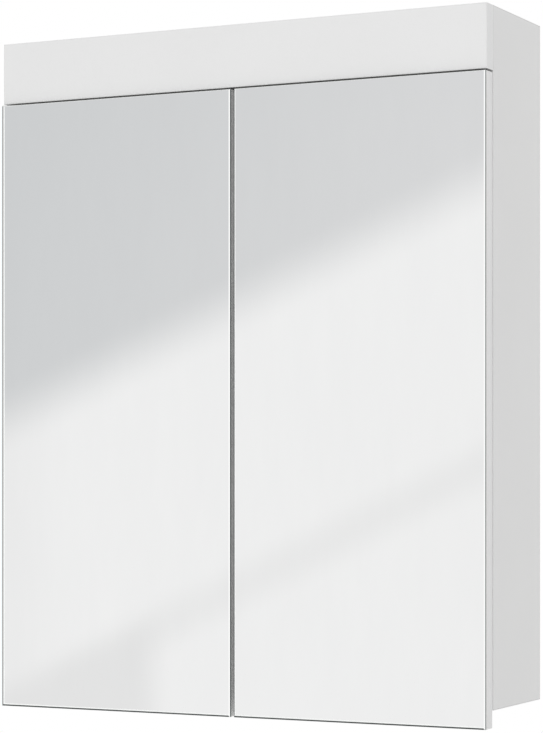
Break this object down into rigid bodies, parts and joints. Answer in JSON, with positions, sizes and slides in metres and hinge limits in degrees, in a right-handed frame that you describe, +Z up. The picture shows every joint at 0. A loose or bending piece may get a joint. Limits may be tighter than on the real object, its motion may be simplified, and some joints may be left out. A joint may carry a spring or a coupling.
{
  "type": "medicine cabinet with mirror",
  "caption": "Wall-hung bathroom cabinet with full mirror doors on concealed hinges, shelves inside and a plain white fascia above.",
  "frame": {"origin": "on the wall plane, midway between the round entries of the two hanging holes", "axes": "+X to the right seen from the front, +Y towards the wall, +Z up; the mirror fronts face -Y"},
  "size_m": [0.6, 0.17, 0.77],
  "materials": {
    "carcass_board": "white melamine faced board, satin",
    "door_board": "white lacquered board, satin",
    "fascia_board": "white lacquered board, satin",
    "back_board": "thin white faced fibreboard",
    "shelf_board": "white melamine faced board, satin",
    "mirror_glass": "silvered float glass with polished edge",
    "plated_steel": "nickel plated pressed steel",
    "screw_steel": "zinc plated steel",
    "pin_steel": "hard drawn steel",
    "cam_zinc": "die cast zinc",
    "dowel_wood": "fluted beech",
    "felt": "dense grey felt",
    "bumper_plastic": "clear soft plastic"
  },
  "bodies": {
    "cabinet": {"side_left": "carcass_board", "side_right": "carcass_board", "top_panel": "carcass_board", "bottom_panel": "carcass_board", "partition": "carcass_board", "back_panel": "back_board", "hanging_rail": "carcass_board", "lower_rail": "carcass_board", "fascia": "fascia_board", "shelf_left_lower": "shelf_board", "shelf_left_upper": "shelf_board", "shelf_right_lower": "shelf_board", "shelf_right_upper": "shelf_board", "shelf_pins": "plated_steel", "dowels": "dowel_wood", "cam_bolts": "screw_steel", "cam_locks": "cam_zinc", "fascia_brackets": "plated_steel", "fascia_screws": "screw_steel", "hanger_plates": "plated_steel", "hanger_screws": "screw_steel", "wall_pads": "felt", "mounting_plates": "plated_steel", "plate_screws": "screw_steel", "hinge_arms": "plated_steel", "arm_screws": "screw_steel", "arm_covers": "plated_steel", "arm_pins": "pin_steel"},
    "left_hinge_links": {"left_links": "plated_steel"},
    "right_hinge_links": {"right_links": "plated_steel"},
    "left_door": {"left_door_board": "door_board", "left_mirror": "mirror_glass", "left_cups": "plated_steel", "left_cup_screws": "screw_steel", "left_cup_pins": "pin_steel", "left_bumpers": "bumper_plastic"},
    "right_door": {"right_door_board": "door_board", "right_mirror": "mirror_glass", "right_cups": "plated_steel", "right_cup_screws": "screw_steel", "right_cup_pins": "pin_steel", "right_bumpers": "bumper_plastic"}
  },
  "joints": [
    {"name": "left_link_swing", "type": "hinge", "parent": "cabinet", "child": "left_hinge_links", "pos_m": [-0.2705, -0.1426, -0.362], "axis": [0, 0, -1], "range_deg": [-60, 0]},
    {"name": "left_door_swing", "type": "hinge", "parent": "left_hinge_links", "child": "left_door", "pos_m": [-0.288, -0.1527, -0.362], "axis": [0, 0, -1], "range_deg": [0, 160]},
    {"name": "right_link_swing", "type": "hinge", "parent": "cabinet", "child": "right_hinge_links", "pos_m": [0.2705, -0.1426, -0.362], "axis": [0, 0, 1], "range_deg": [-60, 0]},
    {"name": "right_door_swing", "type": "hinge", "parent": "right_hinge_links", "child": "right_door", "pos_m": [0.288, -0.1527, -0.362], "axis": [0, 0, 1], "range_deg": [0, 160]}
  ],
  "couplings": [
    {"joint": "left_link_swing", "follows": "left_door_swing", "ratio": -0.375},
    {"joint": "right_link_swing", "follows": "right_door_swing", "ratio": -0.375}
  ]
}
